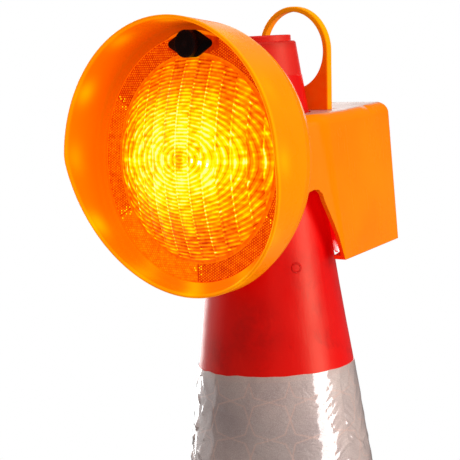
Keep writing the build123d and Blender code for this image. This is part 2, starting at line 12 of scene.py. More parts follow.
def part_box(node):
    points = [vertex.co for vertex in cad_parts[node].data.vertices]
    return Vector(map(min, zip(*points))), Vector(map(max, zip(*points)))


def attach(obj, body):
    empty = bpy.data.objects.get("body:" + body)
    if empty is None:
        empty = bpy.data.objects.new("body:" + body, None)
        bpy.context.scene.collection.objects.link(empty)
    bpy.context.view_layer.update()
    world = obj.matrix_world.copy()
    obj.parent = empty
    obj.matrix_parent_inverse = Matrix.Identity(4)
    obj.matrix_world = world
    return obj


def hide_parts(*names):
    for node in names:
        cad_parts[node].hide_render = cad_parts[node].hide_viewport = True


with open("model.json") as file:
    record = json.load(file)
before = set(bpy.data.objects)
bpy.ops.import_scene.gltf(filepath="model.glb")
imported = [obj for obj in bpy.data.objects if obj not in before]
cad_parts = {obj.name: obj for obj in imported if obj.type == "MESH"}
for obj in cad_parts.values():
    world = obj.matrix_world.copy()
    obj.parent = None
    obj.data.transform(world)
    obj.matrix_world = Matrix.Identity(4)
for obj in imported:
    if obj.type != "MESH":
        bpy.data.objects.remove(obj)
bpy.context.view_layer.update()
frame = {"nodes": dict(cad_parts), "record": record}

MM = 0.001
TAU = 2 * math.pi

# ---------------------------------------------------------------- driving dimensions, millimetres
CONE_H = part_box("cone_body")[1].z / MM
CONE_TOP_R = 26.2
TAPER = 0.133                      # radius gained per millimetre down the cone
SLEEVE_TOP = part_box("reflective_sleeve")[1].z / MM
SLEEVE_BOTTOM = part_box("reflective_sleeve")[0].z / MM

TILT = math.radians(3.08)          # upward tilt of the lamp head
HEAD_Z = CONE_H - 89.3             # height of the head's origin
LENS_FACE = 79.33                  # depth of the lens's flat band
DOME_R = 75.0
DOME_RISE = 17.0
LENS_R = 92.6
LENS_BACK = 76.9
KNOB_Y = 82.7                      # knob centre above the lens axis

HOOD_BACK = 75.4                   # depths of the hood's back edge and rim
HOOD_RIM = 113.1
HOOD_RIM_BOTTOM = 88.6             # the rim slants back to this depth at the bottom
HOOD_BACK_R = 99.26
HOOD_RIM_R = 103.1
HOOD_SLOPE = (HOOD_RIM_R - HOOD_BACK_R) / (HOOD_RIM - HOOD_BACK)


def cone_radius(z):
    return CONE_TOP_R + TAPER * (CONE_H - z)


def hood_radius(depth):
    return HOOD_BACK_R + (depth - HOOD_BACK) * HOOD_SLOPE


def below_top(*drops):
    """Heights in metres of points so many millimetres below the cone's top."""
    return tuple((CONE_H - drop) * MM for drop in drops)


def on_head(points):
    """Head coordinates (x, y up, depth forward) in mm to the row frame in metres."""
    points = np.asarray(points, float)
    x, y, depth = points[..., 0], points[..., 1], points[..., 2]
    sine, cosine = math.sin(TILT), math.cos(TILT)
    placed = [x, -depth * cosine + y * sine, HEAD_Z + depth * sine + y * cosine]
    return np.stack(placed, -1) * MM


# ---------------------------------------------------------------- mesh helpers
def mesh_object(name, vertices, faces, smooth_angle=None):
    """Makes an object, smooth below smooth_angle in degrees, or flat if there is none."""
    mesh = bpy.data.meshes.new(name)
    mesh.from_pydata([tuple(v) for v in vertices], [], [tuple(f) for f in faces])
    mesh.validate(clean_customdata=False)
    mesh.update()
    piece = bpy.data.objects.new(name, mesh)
    bpy.context.scene.collection.objects.link(piece)
    if smooth_angle is not None:
        mesh.shade_smooth()
        mesh.set_sharp_from_angle(angle=math.radians(smooth_angle))
    return piece


def grid_faces(columns, rows, close_rows=False, flip=False):
    """Quads of a grid whose rows are closed rings; close_rows also joins the last to the first."""
    faces = []
    for j in range(rows if close_rows else rows - 1):
        for i in range(columns):
            here, above = j * columns, (j + 1) % rows * columns
            side = (i + 1) % columns
            quad = (here + i, here + side, above + side, above + i)
            faces.append((quad[0], quad[3], quad[2], quad[1]) if flip else quad)
    return faces


def attribute(piece, name, values):
    """Stores one value per vertex; vertices past the end of values get zero."""
    filled = np.zeros(len(piece.data.vertices), np.float32)
    filled[:len(values)] = values
    layer = piece.data.attributes.new(name, "FLOAT", "POINT")
    layer.data.foreach_set("value", filled)


def round_profile(corners, steps):
    """Rounds a closed outline. Each corner is (x, y, radius) and its arc has steps + 1 points."""
    rounded = []
    points = [np.array(corner[:2], float) for corner in corners]
    for i, (*_, radius) in enumerate(corners):
        corner = points[i]
        before = points[i - 1] - corner
        after = points[(i + 1) % len(points)] - corner
        length_before, length_after = np.linalg.norm(before), np.linalg.norm(after)
        before, after = before / length_before, after / length_after
        half = math.acos(max(-1, min(1, float(before @ after)))) / 2
        cut = min(radius / math.tan(half), length_before * 0.45, length_after * 0.45)
        bisector = (before + after) / np.linalg.norm(before + after)
        radius = cut * math.tan(half)
        centre = corner + bisector * (radius / math.sin(half))
        start, end = corner + before * cut - centre, corner + after * cut - centre
        first = math.atan2(start[1], start[0])
        sweep = math.atan2(end[1], end[0]) - first
        sweep = (sweep + math.pi) % TAU - math.pi
        for k in range(steps + 1):
            angle = first + sweep * k / steps
            rounded.append((centre[0] + radius * math.cos(angle),
                            centre[1] + radius * math.sin(angle)))
    return rounded


def resample(points, step):
    """Splits the segments of a closed outline so that no piece is longer than step."""
    split = []
    for i, point in enumerate(points):
        start, end = np.array(point, float), np.array(points[(i + 1) % len(points)], float)
        pieces = max(1, int(math.ceil(np.linalg.norm(end - start) / step)))
        split += [tuple(start + (end - start) * k / pieces) for k in range(pieces)]
    return split


def wave_noise(across, along, seed, scale, stretch=(1.0, 1.0)):
    """Smooth repeatable noise from summed waves over two coordinates in mm."""
    waves = 26
    rng = np.random.default_rng(seed)
    total = np.zeros(np.broadcast(across, along).shape)
    for _ in range(waves):
        frequency = rng.uniform(0.5, 1.6) / scale
        heading = rng.uniform(0, TAU)
        step_across = frequency * math.cos(heading) * stretch[0]
        step_along = frequency * math.sin(heading) * stretch[1]
        total += np.sin(step_across * across + step_along * along + rng.uniform(0, TAU))
    return total / math.sqrt(waves)


# ---------------------------------------------------------------- material helpers
def srgb(*channels):
    """Linear RGBA of an sRGB colour given as 0 to 255."""
    scaled = [c / 255.0 for c in channels]
    return (*(c / 12.92 if c <= 0.04045 else ((c + 0.055) / 1.055) ** 2.4 for c in scaled), 1.0)


def grey(level):
    return (level, level, level, 1.0)


def shade(colour, gain, lift=0.0):
    """A linear colour made darker or lighter."""
    return (*(min(1.0, c * gain + lift) for c in colour[:3]), 1.0)


class Nodes:
    """The node tree of a material or world, with a short method for each common node."""

    def __init__(self, owner, output="OutputMaterial"):
        self.owner = owner
        owner.use_nodes = True
        self.tree = owner.node_tree
        self.tree.nodes.clear()
        self.output = self.node(output)

    def node(self, kind, inputs=None, **properties):
        """Adds a node; inputs maps a name or number to a value or to a socket to link."""
        node = self.tree.nodes.new("ShaderNode" + kind)
        for key, value in properties.items():
            setattr(node, key, value)
        for key, value in (inputs or {}).items():
            if isinstance(value, bpy.types.NodeSocket):
                self.tree.links.new(value, node.inputs[key])
            else:
                node.inputs[key].default_value = value
        return node

    def finish(self, shader):
        """Links a shader node to the output and returns the material or world."""
        self.tree.links.new(shader.outputs[0], self.output.inputs[0])
        return self.owner

    def principled(self, **inputs):
        named = {key.replace("_", " "): value for key, value in inputs.items()}
        return self.finish(self.node("BsdfPrincipled", named))

    def coords(self):
        return self.node("TexCoord").outputs["Object"]

    def geometry(self):
        return self.node("NewGeometry").outputs

    def split(self, vector):
        return self.node("SeparateXYZ", {0: vector}).outputs

    def attribute(self, name):
        return self.node("Attribute", attribute_name=name).outputs["Fac"]

    def math(self, operation, first, second=0.0, third=None):
        inputs = {0: first, 1: second}
        if third is not None:
            inputs[2] = third
        return self.node("Math", inputs, operation=operation).outputs[0]

    def times(self, first, second):
        return self.math("MULTIPLY", first, second)

    def remap(self, value, over, to=(0.0, 1.0), smooth=False):
        """Maps the range over, clamped, on to the range to."""
        node = self.node("MapRange", dict(enumerate((value, *over, *to))))
        if smooth:
            node.interpolation_type = "SMOOTHSTEP"
        return node.outputs[0]

    def noise(self, scale, detail=3.0, rough=0.55, vector=None, distortion=0.0,
              over=None, to=(0.0, 1.0)):
        """Noise texture, remapped if a range over is given."""
        inputs = {"Scale": scale, "Detail": detail, "Roughness": rough, "Distortion": distortion,
                  "Vector": self.coords() if vector is None else vector}
        value = self.node("TexNoise", inputs).outputs["Fac"]
        return self.remap(value, over, to) if over else value

    def voronoi(self, scale, vector, **properties):
        inputs = {"Scale": scale, "Vector": vector}
        return self.node("TexVoronoi", inputs, **properties).outputs["Distance"]

    def stretch(self, vector, scale):
        return self.node("Mapping", {"Vector": vector, "Scale": scale}).outputs[0]

    def distance(self, vector, point):
        return self.node("VectorMath", {0: vector, 1: point}, operation="DISTANCE").outputs["Value"]

    def ramp(self, value, *stops):
        """Colour ramp through stops of (position, colour)."""
        node = self.node("ValToRGB", {"Fac": value})
        elements = node.color_ramp.elements
        while len(elements) < len(stops):
            elements.new(0.5)
        for element, (position, colour) in zip(elements, stops):
            element.position = position
            element.color = colour
        return node.outputs["Color"]

    def mix(self, amount, base, over, strength=None):
        """Lays the colour over on base by amount, which strength scales."""
        if strength is not None:
            amount = self.times(amount, strength)
        return self.node("Mix", {0: amount, 6: base, 7: over}, data_type="RGBA").outputs[2]

    def mix_value(self, amount, base, over):
        return self.node("Mix", {0: amount, 2: base, 3: over}, data_type="FLOAT").outputs[0]

    def edges(self, over):
        """Mask of convex edges."""
        return self.remap(self.geometry()["Pointiness"], over)

    def grazing(self, over):
        """Mask of surfaces seen at a shallow angle."""
        return self.remap(self.node("LayerWeight", {"Blend": 0.5}).outputs["Facing"], over)

    def bumps(self, *layers, under=None):
        """Normal from stacked layers of (height, strength, distance in metres)."""
        for height, strength, distance in layers:
            inputs = {"Strength": strength, "Distance": distance, "Height": height}
            if under is not None:
                inputs["Normal"] = under
            under = self.node("Bump", inputs).outputs["Normal"]
        return under


def material(name):
    return Nodes(bpy.data.materials.new(name))


# ---------------------------------------------------------------- general materials
def painted_bounce_mask(mat, geometry):
    """Mask of surfaces close to the cone that face its axis, below its top, where red bounce light
    and shade are painted.
    """
    x, y, z = mat.split(geometry["Position"])
    radius = mat.math("SQRT", mat.math("ADD", mat.times(x, x), mat.times(y, y)))
    drop = mat.math("SUBTRACT", CONE_H * MM, z)
    cone = mat.math("MULTIPLY_ADD", drop, TAPER, CONE_TOP_R * MM)
    gap = mat.math("SUBTRACT", radius, cone)
    mask = mat.remap(gap, over=(0.018, 0.034), to=(1.0, 0.0), smooth=True)
    mask = mat.times(mask, mat.remap(z, over=below_top(110, 114)))
    normal_x, normal_y, _ = mat.split(geometry["Normal"])
    outward = mat.math("ADD", mat.times(normal_x, x), mat.times(normal_y, y))
    outward = mat.math("DIVIDE", outward, radius)
    return mat.times(mask, mat.remap(outward, over=(0.05, -0.25)))


def plastic(name, colour, dark=None, light=None, rough=0.32, coat=0.0, glow=0.0, glow_colour=None,
            wear=0.25, specular=0.4, tint=None, painted_cone_bounce=None, front=None, painted_sheen=0.0):
    """Moulded plastic: slow colour drift, flow lines, fine grain and scuffed edges.

    The cone colour paints red bounce light and shade on faces turned to the cone, the front colour
    paints shade with red bounce on faces turned to -Y, and the sheen amount paints a pale grazing
    reflection on the tops."""
    mat = material(name)
    dark = dark or shade(colour, 0.72)
    light = light or shade(colour, 1.12, lift=0.01)
    place = mat.coords()
    paint = mat.ramp(mat.noise(scale=9.0, rough=0.5), (0.32, dark), (0.5, colour), (0.72, light))
    flow = mat.noise(scale=260, rough=0.6, vector=mat.stretch(place, (1.0, 1.0, 0.05)))
    paint = mat.mix(mat.remap(flow, over=(0.5, 0.8), to=(0.0, 0.22)), paint, dark)
    extras = {}
    if front or painted_cone_bounce or painted_sheen:
        geometry = mat.geometry()
    # Painted shade and red bounce light on faces turned to -Y, stronger lower down.
    if front:
        normal = mat.node("VectorTransform", {0: geometry["Normal"]}, vector_type="NORMAL",
                          convert_from="WORLD", convert_to="OBJECT").outputs[0]
        painted_front_shade = mat.remap(mat.split(normal)[1], over=(-0.45, -0.9))
        low = mat.remap(mat.split(place)[2], over=below_top(-10, 34), to=(0.12, 1.0))
        paint = mat.mix(painted_front_shade, paint, front, strength=low)
    # Painted red bounce light and shade from the cone, with a faint red emission, on faces turned
    # to it.
    if painted_cone_bounce:
        close = painted_bounce_mask(mat, geometry)
        paint = mat.mix(close, paint, painted_cone_bounce)
        extras.update(Emission_Color=srgb(230, 2, 6), Emission_Strength=mat.times(close, 0.55))
    scuffed = mat.times(mat.edges(over=(0.51, 0.60)),
                        mat.noise(scale=140, detail=4, rough=0.6, over=(0.42, 0.62)))
    paint = mat.mix(scuffed, paint, shade(colour, 0.82, lift=0.036), strength=wear)
    # Painted sheen: up-facing surfaces seen at a shallow angle are painted pale pink, standing in
    # for a reflection.
    if painted_sheen:
        upward = mat.remap(mat.split(geometry["Normal"])[2], over=(0.80, 0.97))
        pale = mat.times(mat.grazing(over=(0.68, 0.88)), upward)
        paint = mat.mix(pale, paint, srgb(172, 144, 132), strength=painted_sheen)
    if tint:
        extras["Specular_Tint"] = tint
    if glow:
        extras.update(Emission_Color=glow_colour or paint, Emission_Strength=glow)
    roughness = mat.math(
        "ADD",
        mat.noise(scale=30, detail=4, rough=0.6, over=(0.3, 0.7), to=(rough - 0.04, rough + 0.06)),
        mat.remap(flow, over=(0.55, 0.8), to=(0.0, 0.06)))
    softened = mat.node("Bevel", {"Radius": 0.0008}, samples=4).outputs[0]
    normal = mat.bumps((mat.noise(scale=900, detail=2, rough=0.5), 0.1, 0.0002),
                       (mat.noise(scale=26, detail=2, rough=0.5), 0.07, 0.001), under=softened)
    return mat.principled(Base_Color=paint, Roughness=roughness, Normal=normal, Coat_Weight=coat,
                          Coat_Roughness=0.12, IOR=1.5, Specular_IOR_Level=specular, **extras)


def rubber(name, colour, rough, dust):
    """Dark rubber with pale crumbs, worn edges and dust on what faces up."""
    mat = material(name)
    paint = mat.ramp(mat.noise(scale=22, detail=5, rough=0.65), (0.3, shade(colour, 0.6)),
                     (0.55, colour), (0.8, shade(colour, 1.7, lift=0.004)))
    crumbs = mat.noise(scale=520, rough=0.7, over=(0.62, 0.72), to=(0.0, 0.55))
    paint = mat.mix(crumbs, paint, grey(0.11))
    upward = mat.remap(mat.split(mat.geometry()["Normal"])[2], over=(0.2, 1.0))
    dusty = mat.times(upward, mat.noise(scale=14, detail=5, rough=0.6, over=(0.42, 0.72)))
    paint = mat.mix(dusty, paint, (0.26, 0.24, 0.21, 1.0), strength=dust)
    paint = mat.mix(mat.edges(over=(0.5, 0.58)), paint, grey(0.09), strength=0.5)
    normal = mat.bumps((mat.noise(scale=330, detail=4, rough=0.6), 0.5, 0.0004),
                       (mat.noise(scale=40, rough=0.6), 0.35, 0.0012))
    roughness = mat.noise(scale=60, rough=0.5, over=(0.3, 0.7), to=(rough - 0.1, rough + 0.14))
    return mat.principled(Base_Color=paint, Roughness=roughness, Normal=normal,
                          Specular_IOR_Level=0.45)


def metal(name, colour, rough):
    mat = material(name)
    paint = mat.ramp(mat.noise(scale=220, detail=4, rough=0.6), (0.3, shade(colour, 0.72)),
                     (0.6, colour), (0.85, shade(colour, 1.15)))
    normal = mat.bumps((mat.noise(scale=1600, detail=2, rough=0.5), 0.25, 0.0001))
    roughness = mat.noise(scale=500, rough=0.6, over=(0.3, 0.7), to=(rough - 0.08, rough + 0.12))
    return mat.principled(Base_Color=paint, Metallic=1.0, Roughness=roughness, Normal=normal)


def circuit_board():
    """Green board with raised tracks and pale pads."""
    mat = material("circuit_board")
    place = mat.coords()
    cells = mat.voronoi(scale=260, vector=place, feature="DISTANCE_TO_EDGE", distance="MANHATTAN")
    track = mat.remap(cells, over=(0.03, 0.07), to=(1.0, 0.0))
    paint = mat.ramp(mat.noise(scale=90, rough=0.5),
                     (0.3, srgb(16, 74, 36)), (0.7, srgb(30, 104, 50)))
    paint = mat.mix(track, paint, srgb(66, 140, 72), strength=0.55)
    pads = mat.remap(mat.voronoi(scale=330, vector=place, feature="F1"),
                     over=(0.16, 0.2), to=(1.0, 0.0))
    paint = mat.mix(pads, paint, srgb(206, 190, 130), strength=0.6)
    return mat.principled(Base_Color=paint, Roughness=0.35, Coat_Weight=0.4,
                          Normal=mat.bumps((track, 0.3, 0.0001)))


def black_knob():
    mat = material("knob_black_abs")
    paint = mat.ramp(mat.noise(scale=60, detail=4, rough=0.6),
                     (0.3, srgb(7, 4, 5)), (0.7, srgb(18, 10, 12)))
    paint = mat.mix(mat.edges(over=(0.51, 0.6)), paint, srgb(56, 34, 34), strength=0.25)
    normal = mat.bumps((mat.noise(scale=900, rough=0.6), 0.2, 0.0002))
    roughness = mat.noise(scale=90, rough=0.6, over=(0.3, 0.7), to=(0.34, 0.5))
    return mat.principled(Base_Color=paint, Roughness=roughness, Normal=normal,
                          Specular_IOR_Level=0.08)


# ---------------------------------------------------------------- cone and sleeve materials
def cone_red():
    """Saturated red: paler matt tip, fine vertical flow lines, faint grime and smudges, and a
    painted glow under the lamp.
    """
    # Centres of local marks, metres.
    right_smudge = (0.0218, -0.0513, 0.534)
    left_smudge = (-0.0105, -0.0569, 0.513)
    ring_centre = (0.0430, -0.0232, 0.5795)
    ring_radius = 0.0034

    mat = material("cone_red_pe")
    place = mat.coords()
    z = mat.split(place)[2]
    paint = mat.ramp(mat.noise(scale=7, rough=0.5),
                     (0.3, srgb(194, 0, 6)), (0.52, srgb(216, 0, 3)), (0.75, srgb(230, 6, 2)))
    vertical = mat.stretch(place, (1.0, 1.0, 0.02))
    streak = mat.noise(scale=900, rough=0.6, vector=vertical)
    wide_streak = mat.noise(scale=240, rough=0.6, vector=vertical)
    paint = mat.mix(mat.remap(streak, over=(0.58, 0.78), to=(0.0, 0.12)), paint, srgb(246, 60, 40))
    tip = mat.remap(z, over=below_top(30.6, 29.4))
    paint = mat.mix(tip, paint, srgb(204, 34, 24), strength=0.55)
    neck = mat.times(mat.remap(z, over=below_top(10.5, 5.2)),
                     mat.remap(z, over=below_top(4.4, 4.8)))
    paint = mat.mix(neck, paint, srgb(160, 14, 12), strength=0.55)

    grime = mat.noise(scale=15, detail=6, rough=0.7, distortion=0.8,
                      over=(0.54, 0.74), to=(0.0, 0.6))
    paint = mat.mix(grime, paint, srgb(128, 0, 8),
                    strength=mat.remap(z, over=(0.62, 0.54), to=(0.15, 1.0)))
    smudge = mat.times(
        mat.remap(mat.distance(place, right_smudge), over=(0.010, 0.034), to=(1.0, 0.0),
                  smooth=True),
        mat.noise(scale=60, detail=5, rough=0.7, over=(0.36, 0.6), to=(0.1, 0.8)))
    paint = mat.mix(smudge, paint, srgb(132, 0, 8), strength=0.42)
    smudge = mat.remap(mat.distance(place, left_smudge), over=(0.006, 0.024), to=(0.45, 0.0),
                       smooth=True)
    blotches = mat.noise(scale=70, detail=5, rough=0.7, over=(0.36, 0.6), to=(0.2, 0.9))
    paint = mat.mix(smudge, paint, srgb(128, 4, 12), strength=blotches)
    scuffs = mat.noise(scale=75, detail=5, rough=0.75, over=(0.66, 0.8), to=(0.0, 0.35))
    paint = mat.mix(scuffs, paint, srgb(226, 120, 104),
                    strength=mat.remap(z, over=(0.25, 0.02), to=(0.1, 1.0)))
    paint = mat.mix(mat.edges(over=(0.51, 0.58)), paint, srgb(244, 90, 70), strength=0.3)
    off_ring = mat.math("SUBTRACT", mat.distance(place, ring_centre), ring_radius)
    ring = mat.remap(mat.math("ABSOLUTE", off_ring), over=(0.0002, 0.0008), to=(1.0, 0.0))
    paint = mat.mix(ring, paint, srgb(168, 0, 8), strength=0.35)

    normal = mat.bumps((streak, 0.25, 0.00025),
                       (ring, 0.7, 0.0008),
                       (wide_streak, 0.12, 0.0006),
                       (mat.noise(scale=1100, detail=2, rough=0.5), 0.1, 0.00015),
                       (mat.noise(scale=18, rough=0.5), 0.2, 0.0014))
    roughness = mat.noise(scale=40, detail=4, rough=0.6, over=(0.3, 0.7), to=(0.30, 0.40))
    roughness = mat.math("ADD", roughness, mat.times(tip, 0.14))
    # Painted light: a soft red glow on the upper part of the cone lifts the shade under the lamp.
    glow = mat.times(mat.remap(z, over=(0.580, 0.632), to=(0.0, 0.24)),
                     mat.remap(z, over=(0.672, 0.680), to=(1.0, 0.0)))
    return mat.principled(Base_Color=paint, Roughness=roughness, Normal=normal, IOR=1.5,
                          Specular_IOR_Level=0.5, Specular_Tint=srgb(255, 184, 148),
                          Emission_Color=srgb(236, 8, 4), Emission_Strength=glow)


def sleeve_film():
    """Cellular reflective film: pinkish grey honeycomb under a clear glossy skin."""
    mat = material("sleeve_cellular_film")
    seam = mat.attribute("seam")
    tone = mat.attribute("tone")
    place = mat.coords()
    paint = mat.ramp(mat.noise(scale=26, rough=0.5), (0.3, srgb(180, 156, 150)),
                     (0.55, srgb(200, 176, 167)), (0.8, srgb(213, 191, 180)))
    cells = mat.remap(mat.voronoi(scale=900, vector=place, feature="DISTANCE_TO_EDGE"),
                      over=(0.0, 0.16), to=(1.0, 0.0))
    paint = mat.mix(cells, paint, srgb(118, 104, 106), strength=0.28)
    specks = mat.noise(scale=1400, detail=2, rough=0.6, over=(0.56, 0.72), to=(0.0, 0.45))
    paint = mat.mix(specks, paint, srgb(230, 218, 208))
    paint = mat.mix(tone, paint, srgb(130, 116, 118), strength=0.38)
    paint = mat.mix(seam, paint, srgb(224, 178, 160), strength=0.6)
    wrinkles = mat.noise(scale=170, detail=4, rough=0.6, distortion=0.8,
                         vector=mat.stretch(place, (0.6, 0.6, 1.0)))
    normal = mat.bumps((wrinkles, 0.6, 0.0013),
                       (mat.noise(scale=620, rough=0.6), 0.15, 0.0003))
    return mat.principled(Base_Color=paint, Roughness=0.42, Metallic=0.12, Normal=normal,
                          Coat_Weight=1.0, Coat_Roughness=0.08, Coat_IOR=1.8)


# ---------------------------------------------------------------- lamp materials
def amber_hood():
    """Amber moulding with painted light from the lens: glowing walls and glow spots, painted shade
    deeper inside, a lighter lip and a pale painted sheen facing up.
    """
    mat = material("hood_amber_painted_glow")
    inside = mat.attribute("inside")
    tone = mat.attribute("tone")
    painted_glow_spot = mat.attribute("painted_glow_spot")
    lip = mat.attribute("lip")
    drift = mat.noise(scale=12, rough=0.5)
    outer = mat.ramp(drift, (0.3, srgb(244, 124, 0)), (0.55, srgb(249, 131, 0)),
                     (0.8, srgb(252, 137, 0)))
    # Painted light and shade inside: the tone runs from shaded red-orange to lit amber.
    inner = mat.ramp(tone, (0.0, srgb(212, 56, 0)), (0.45, srgb(245, 111, 0)),
                     (1.0, srgb(253, 140, 0)))
    inner = mat.mix(mat.remap(drift, over=(0.35, 0.7), to=(0.0, 0.25)), inner, srgb(255, 128, 0))
    paint = mat.mix(inside, outer, inner)
    # Painted light: the lip and the glow spots are painted lighter.
    paint = mat.mix(lip, paint, srgb(254, 150, 0), strength=0.7)
    paint = mat.mix(painted_glow_spot, paint, srgb(255, 170, 0), strength=0.35)
    # Painted sheen: up-facing outer surfaces seen at a shallow angle are painted pale, standing in
    # for a reflection.
    upward = mat.remap(mat.split(mat.geometry()["Normal"])[2], over=(0.25, 0.85))
    painted_sheen = mat.times(mat.grazing(over=(0.55, 0.95)), mat.mix_value(inside, upward, 0.0))
    paint = mat.mix(painted_sheen, paint, srgb(240, 170, 110), strength=0.28)
    normal = mat.bumps((mat.noise(scale=1000, detail=2, rough=0.5), 0.07, 0.00015),
                       (mat.noise(scale=20, detail=2, rough=0.5), 0.12, 0.0012))
    glow_colour = mat.mix(painted_glow_spot, mat.mix(0.5, paint, srgb(255, 110, 0)), srgb(255, 190, 0))
    # Painted light, though the hood is no lamp: the walls glow 0.10 outside and follow the tone
    # inside. Spots and lip add to it.
    wall_glow = mat.mix_value(inside, 0.10, mat.remap(tone, over=(0.0, 1.0), to=(0.26, 0.58)))
    added_glow = mat.math("MULTIPLY_ADD", painted_glow_spot, 0.16, mat.times(lip, 0.22))
    return mat.principled(
        Base_Color=paint, Normal=normal,
        Roughness=mat.noise(scale=36, detail=4, rough=0.6, over=(0.3, 0.7), to=(0.22, 0.34)),
        Specular_IOR_Level=0.08, Specular_Tint=srgb(255, 160, 40), Emission_Color=glow_colour,
        Emission_Strength=mat.math("ADD", wall_glow, added_glow))


def amber_lens():
    """Lit prismatic lens, from deep orange through yellow to near white as the glow rises."""
    mat = material("lens_lit_amber")
    glow = mat.attribute("glow")
    painted_glint = mat.attribute("painted_glint")
    mottle = mat.noise(scale=260, rough=0.65, over=(0.3, 0.7), to=(-0.07, 0.07))
    glow = mat.math("ADD", glow, mottle)
    light = mat.ramp(glow, (0.0, srgb(150, 22, 0)), (0.12, srgb(206, 52, 0)),
                     (0.26, srgb(240, 94, 0)), (0.40, srgb(253, 130, 0)),
                     (0.55, srgb(255, 172, 0)), (0.68, srgb(255, 222, 0)),
                     (0.80, srgb(255, 252, 0)), (0.92, srgb(255, 255, 40)),
                     (1.0, srgb(255, 255, 150)))
    # Painted reflection: the glints are painted as white glow.
    light = mat.mix(painted_glint, light, (1.0, 1.0, 0.9, 1.0))
    strength = mat.math("ADD", mat.remap(glow, over=(0.0, 1.0), to=(0.86, 0.98)),
                        mat.times(painted_glint, 0.8))
    return mat.principled(
        Base_Color=srgb(150, 30, 0), Roughness=0.14, Specular_IOR_Level=0.35,
        Normal=mat.bumps((mat.noise(scale=700, detail=2, rough=0.5), 0.1, 0.0002)),
        Specular_Tint=srgb(255, 170, 40), Emission_Color=light, Emission_Strength=strength)


# ---------------------------------------------------------------- materials on the CAD pieces
MATERIALS = {
    "cone_red": cone_red(),
    "sleeve_film": sleeve_film(),
    "base_black": rubber("base_recycled_rubber", srgb(30, 30, 32), rough=0.6, dust=0.3),
    "bush_rubber": rubber("bush_rubber_soft", srgb(24, 24, 25), rough=0.5, dust=0.05),
    # Painted light on the housing: red bounce light and shade on faces turned to the cone, and a
    # pale painted sheen on the tops seen at a shallow angle.
    "housing_amber": plastic(
        "housing_amber_pp", srgb(238, 125, 0), dark=srgb(231, 117, 0), light=srgb(242, 132, 0),
        rough=0.24, wear=0.12, specular=0.12, tint=srgb(255, 160, 30),
        painted_cone_bounce=srgb(222, 6, 4), painted_sheen=0.95),
    "hood_amber": amber_hood(),
    # Painted light on the handle: a faint glow though it is no lamp, and painted shade with red
    # bounce on faces turned to -Y.
    "handle_amber": plastic(
        "handle_amber_pp", srgb(250, 152, 0), dark=srgb(242, 140, 0), light=srgb(255, 160, 0),
        rough=0.26, glow=0.06, wear=0.12, specular=0.1, tint=srgb(255, 170, 60),
        front=srgb(240, 98, 0)),
    "lens_amber": amber_lens(),
    "seal_rubber": rubber("seal_rubber_fine", srgb(20, 20, 20), rough=0.5, dust=0.0),
    "reflector_white": plastic("reflector_white_abs", srgb(236, 236, 232), rough=0.18, coat=0.5,
                               wear=0.05),
    "board_green": circuit_board(),
    "led_clear": plastic("led_epoxy", srgb(255, 224, 120), rough=0.08, coat=0.8, glow=1.2,
                         glow_colour=srgb(255, 190, 30), wear=0.0),
    "part_black": plastic("part_black_nylon", srgb(32, 31, 32), rough=0.42, wear=0.2),
    "knob_black": black_knob(),
    "zinc_steel": metal("zinc_plated_steel", srgb(196, 196, 190), rough=0.3),
    "contact_brass": metal("contact_brass_plate", srgb(206, 176, 110), rough=0.28),
    "battery_case": plastic("battery_case_abs", srgb(44, 48, 54), rough=0.4, wear=0.3),
    "lead_sheath": plastic("lead_sheath_pvc", srgb(28, 28, 30), rough=0.38, wear=0.0),
}
slot_of = {part["node"]: part["material_slot"] for part in frame["record"]["subparts"]}
for name, node in frame["nodes"].items():
    node.data.materials.clear()
    node.data.materials.append(MATERIALS[slot_of[name]])


def finish_piece(piece, body, slot, *replaced):
    piece.data.materials.append(MATERIALS[slot])
    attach(piece, body)
    if replaced:
        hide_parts(*replaced)


# ---------------------------------------------------------------- cone shell
def build_cone():
    """The turned shell: flared foot, tapered wall, stepped tip and open neck."""
    segments = 224
    wall = 4.0
    foot_r, foot_top = 138.0, 5.0
    tip_step = CONE_H - 30.0
    shoulder = CONE_H - 4.6
    neck_r, bore_r = 23.0, 18.5
    bore_floor = CONE_H - 14.0
    corners = [  # radius, z, rounding
        (cone_radius(12.0) + 0.4, 12.0, 6),
        (cone_radius(tip_step - 0.5), tip_step - 0.5, 0.3),
        (cone_radius(tip_step) - 0.4, tip_step, 0.3),
        (cone_radius(shoulder) - 0.4, shoulder, 3.4),
        (neck_r, shoulder, 0.7),
        (neck_r, CONE_H, 1.0),
        (bore_r, CONE_H, 1.2),
        (bore_r, bore_floor, 0.8),
        (cone_radius(bore_floor) - wall, bore_floor, 3),
        (cone_radius(0) - wall, 0.0, 1.0),
        (foot_r, 0.0, 1.5),
        (foot_r, foot_top, 1.8),
        (cone_radius(foot_top) + 6, foot_top, 4),
    ]
    profile = np.array(resample(round_profile(corners, steps=5), step=6.0))
    turns = np.linspace(0, TAU, segments, endpoint=False)
    radius, angle = np.meshgrid(profile[:, 0], turns, indexing="ij")
    z = np.repeat(profile[:, 1][:, None], segments, 1)
    # Shallow dents fade out under the lamp, at the foot and behind the sleeve.
    dents = np.clip((CONE_H - 150.0 - z) / 40.0, 0, 1) * np.clip((z - 45) / 60.0, 0, 1)
    off_sleeve = np.maximum(z - SLEEVE_TOP - 4.0, SLEEVE_BOTTOM - 4.0 - z)
    dents = dents * np.clip(off_sleeve / 25.0, 0, 1)
    dents = dents * 0.22 * wave_noise(angle * 60.0, z, seed=5, scale=38.0)
    radius = radius + dents * (radius > 30)
    points = np.stack([radius * np.cos(angle), radius * np.sin(angle), z], -1).reshape(-1, 3)
    cone = mesh_object("cone_shell", points * MM,
                       grid_faces(segments, len(profile), close_rows=True), smooth_angle=40)
    finish_piece(cone, "cone", "cone_red", "cone_body")


